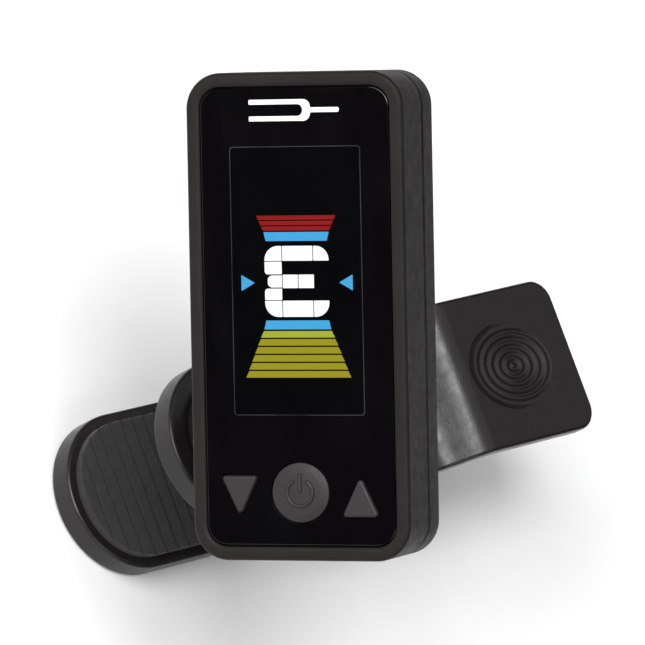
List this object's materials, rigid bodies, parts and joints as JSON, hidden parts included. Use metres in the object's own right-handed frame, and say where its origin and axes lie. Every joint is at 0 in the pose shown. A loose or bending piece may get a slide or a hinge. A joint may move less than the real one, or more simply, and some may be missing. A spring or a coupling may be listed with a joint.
{
  "type": "clip on tuner",
  "caption": "Clip-on headstock tuner: a slim display head with keys on a swivelling, tilting arm, carried by a sprung clip with rubber pads.",
  "frame": {"origin": "centre of the upper pad's contact face, which rests on the headstock", "axes": "+Z along the clamp's normal from the headstock towards the display head, +X along the clip towards the finger handles"},
  "size_m": [0.0811, 0.0582, 0.0753],
  "materials": {
    "case_plastic": "fine-textured moulded plastic",
    "clip_plastic": "semi-matte moulded plastic",
    "lens_black": "polished tinted window",
    "key_rubber": "matte moulded key",
    "pad_rubber": "matte soft rubber",
    "panel_glass": "polished display glass",
    "diffuser": "translucent white",
    "holder_white": "satin moulded plastic",
    "board_green": "solder mask",
    "chip_black": "moulded epoxy",
    "ribbon_amber": "polyimide film",
    "steel": "nickel-plated steel",
    "dark_steel": "blackened steel",
    "brass": "rolled brass",
    "ceramic": "fired ceramic",
    "lead_red": "extruded insulation"
  },
  "bodies": {
    "clip": {"upper_lever": "clip_plastic", "upper_pad": "pad_rubber", "hinge_pin": "steel", "torsion_spring": "steel", "friction_washer": "dark_steel"},
    "lower_jaw": {"lower_lever": "clip_plastic", "lower_pad": "pad_rubber"},
    "arm": {"swivel_arm": "case_plastic", "turntable_washer": "steel", "turntable_screw": "steel", "pivot_screw": "steel", "pivot_nut": "steel"},
    "knuckle": {"head_knuckle": "case_plastic", "swivel_washer": "steel", "swivel_screw": "steel"},
    "head": {"front_bezel": "case_plastic", "face_lens": "lens_black", "lcd_panel": "panel_glass", "backlight": "diffuser", "display_holder": "holder_white", "main_board": "board_green", "controller_chip": "chip_black", "crystal": "steel", "lcd_ribbon": "ribbon_amber", "switch_power": "steel", "switch_flat": "steel", "switch_sharp": "steel", "piezo_plate": "brass", "piezo_ceramic": "ceramic", "piezo_lead_ceramic": "lead_red", "piezo_lead_plate": "lead_red", "coin_cell": "steel", "contact_negative": "steel", "contact_positive": "steel", "rear_shell": "case_plastic", "shell_screw_1": "dark_steel", "shell_screw_2": "dark_steel", "shell_screw_3": "dark_steel", "shell_screw_4": "dark_steel"},
    "power_key": {"key_power": "key_rubber"},
    "flat_key": {"key_flat": "key_rubber"},
    "sharp_key": {"key_sharp": "key_rubber"},
    "door": {"battery_door": "case_plastic"}
  },
  "joints": [
    {"name": "base_swivel", "type": "hinge", "parent": "clip", "child": "arm", "pos_m": [0, 0, 0.0043], "axis": [0, 0, 1], "continuous": true},
    {"name": "arm_tilt", "type": "hinge", "parent": "arm", "child": "knuckle", "pos_m": [0, 0, 0.0266], "axis": [0.061, -0.9981, 0], "range_deg": [-154, 24]},
    {"name": "head_swivel", "type": "hinge", "parent": "knuckle", "child": "head", "pos_m": [-0.00895, -0.00055, 0.0308], "axis": [-0.9039, -0.0553, 0.4242], "continuous": true},
    {"name": "jaw_hinge", "type": "hinge", "parent": "clip", "child": "lower_jaw", "pos_m": [0.026, 0, -0.007], "axis": [0, -1, 0], "range_deg": [-22, 14], "stiffness_Nm_per_rad": 0.2, "springref_deg": -51.57, "deforming": ["torsion_spring"]},
    {"name": "power_key_press", "type": "slide", "parent": "head", "child": "power_key", "axis": [0.9039, 0.0553, -0.4242], "range_m": [0, 0.0004], "stiffness_N_per_m": 800},
    {"name": "flat_key_press", "type": "slide", "parent": "head", "child": "flat_key", "axis": [0.9039, 0.0553, -0.4242], "range_m": [0, 0.0004], "stiffness_N_per_m": 800},
    {"name": "sharp_key_press", "type": "slide", "parent": "head", "child": "sharp_key", "axis": [0.9039, 0.0553, -0.4242], "range_m": [0, 0.0004], "stiffness_N_per_m": 800},
    {"name": "battery_door_slide", "type": "slide", "parent": "head", "child": "door", "axis": [0.1078, 0.9302, 0.3509], "range_m": [0, 0.024]}
  ]
}
